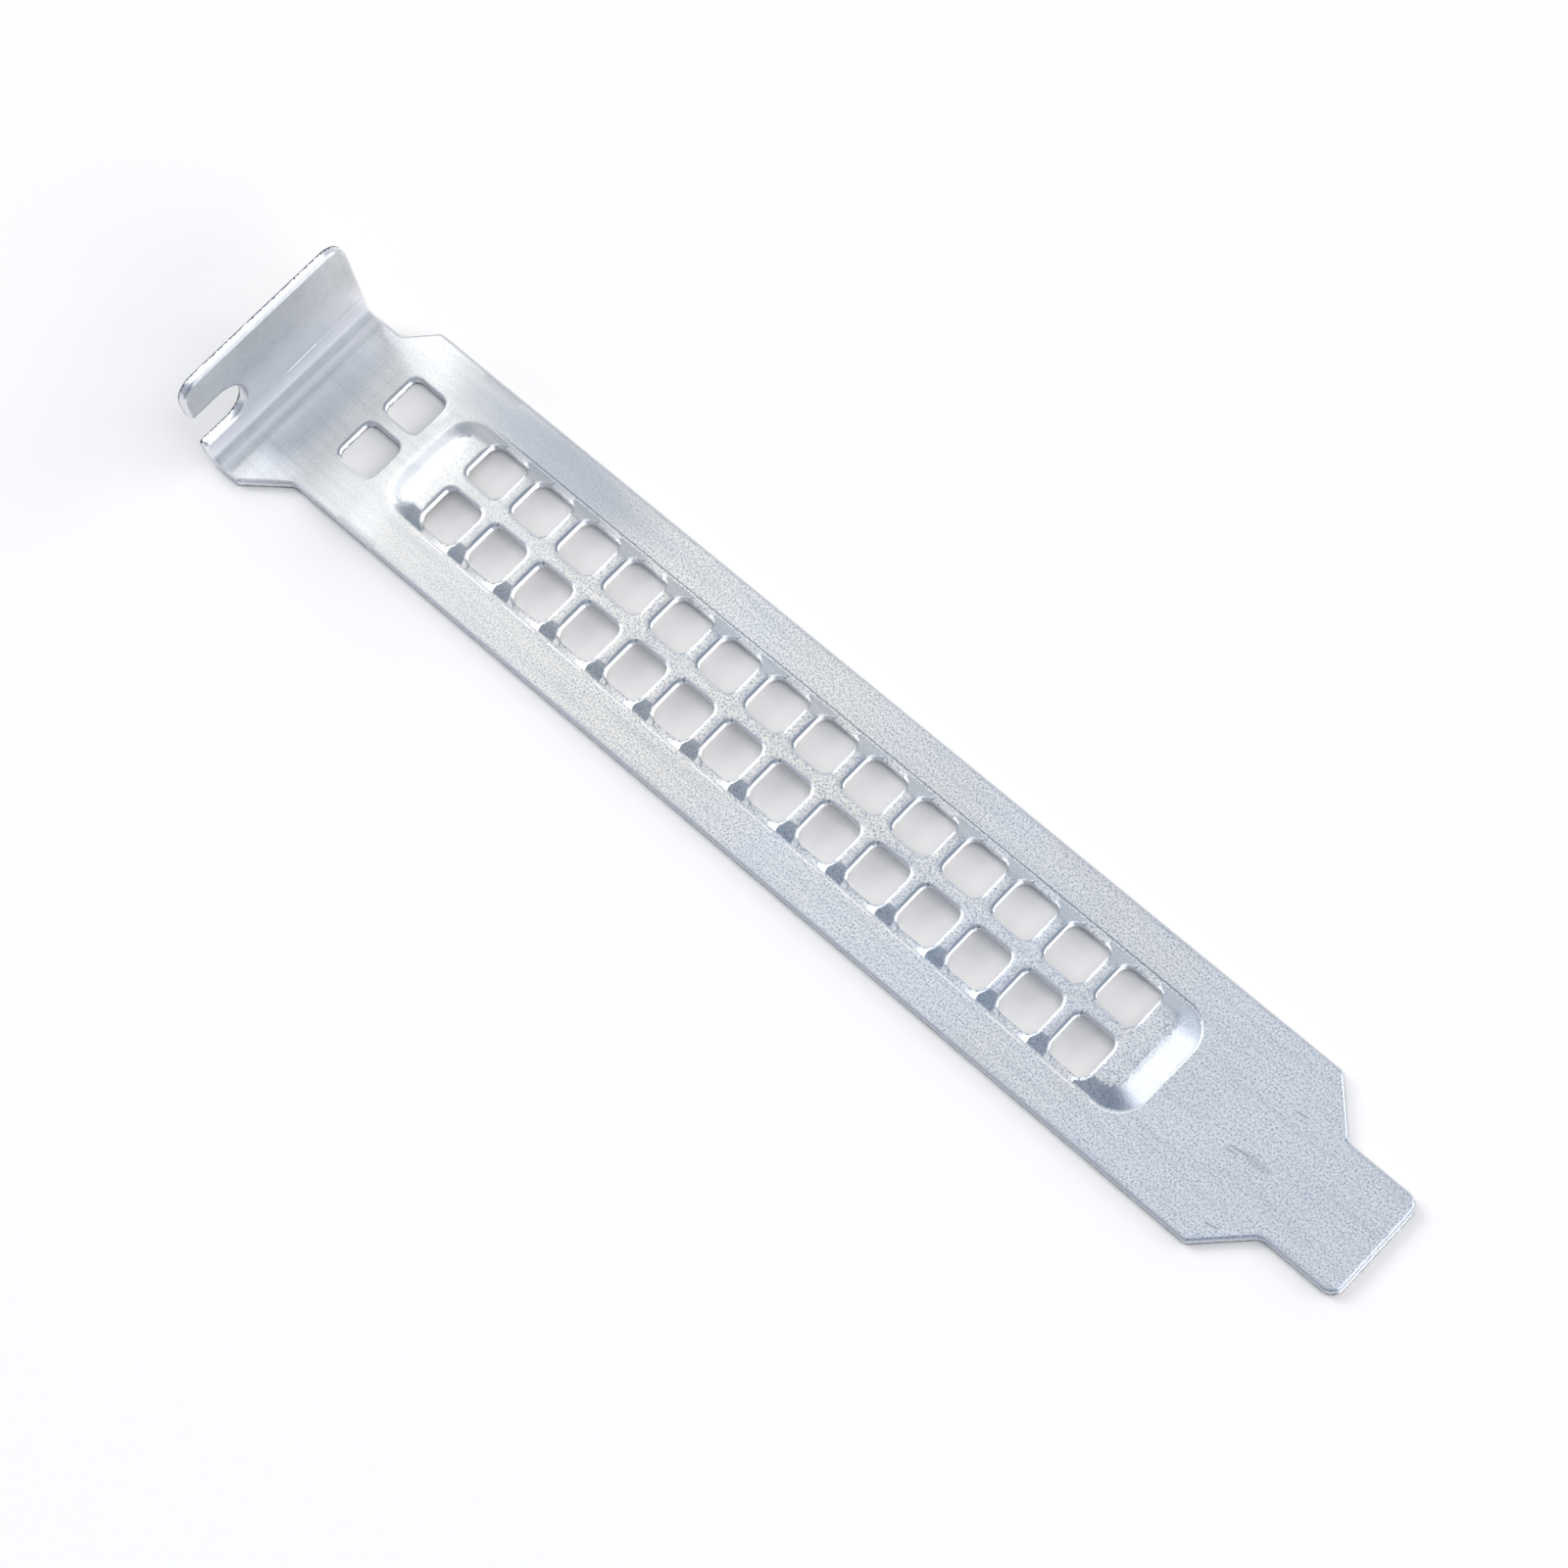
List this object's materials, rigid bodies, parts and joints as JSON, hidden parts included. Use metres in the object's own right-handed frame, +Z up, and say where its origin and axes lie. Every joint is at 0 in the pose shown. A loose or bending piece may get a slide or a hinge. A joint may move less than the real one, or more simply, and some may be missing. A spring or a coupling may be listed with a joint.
{
  "type": "expansion slot cover bracket",
  "caption": "Expansion slot cover: a sheet-metal strip with a raised vented panel, a tapered tongue and a folded tab with an open screw notch.",
  "frame": {"origin": "on the surface that the back face lies on, under the middle of the part's box", "axes": "+X along the strip from the folded tab to the tongue, +Y across it away from the notched side, +Z up from the back face"},
  "size_m": [0.12, 0.0216, 0.0123],
  "materials": {
    "zinc_steel": "bright zinc coat, satin"
  },
  "bodies": {
    "root": {"slot_cover": "zinc_steel"}
  },
  "joints": []
}
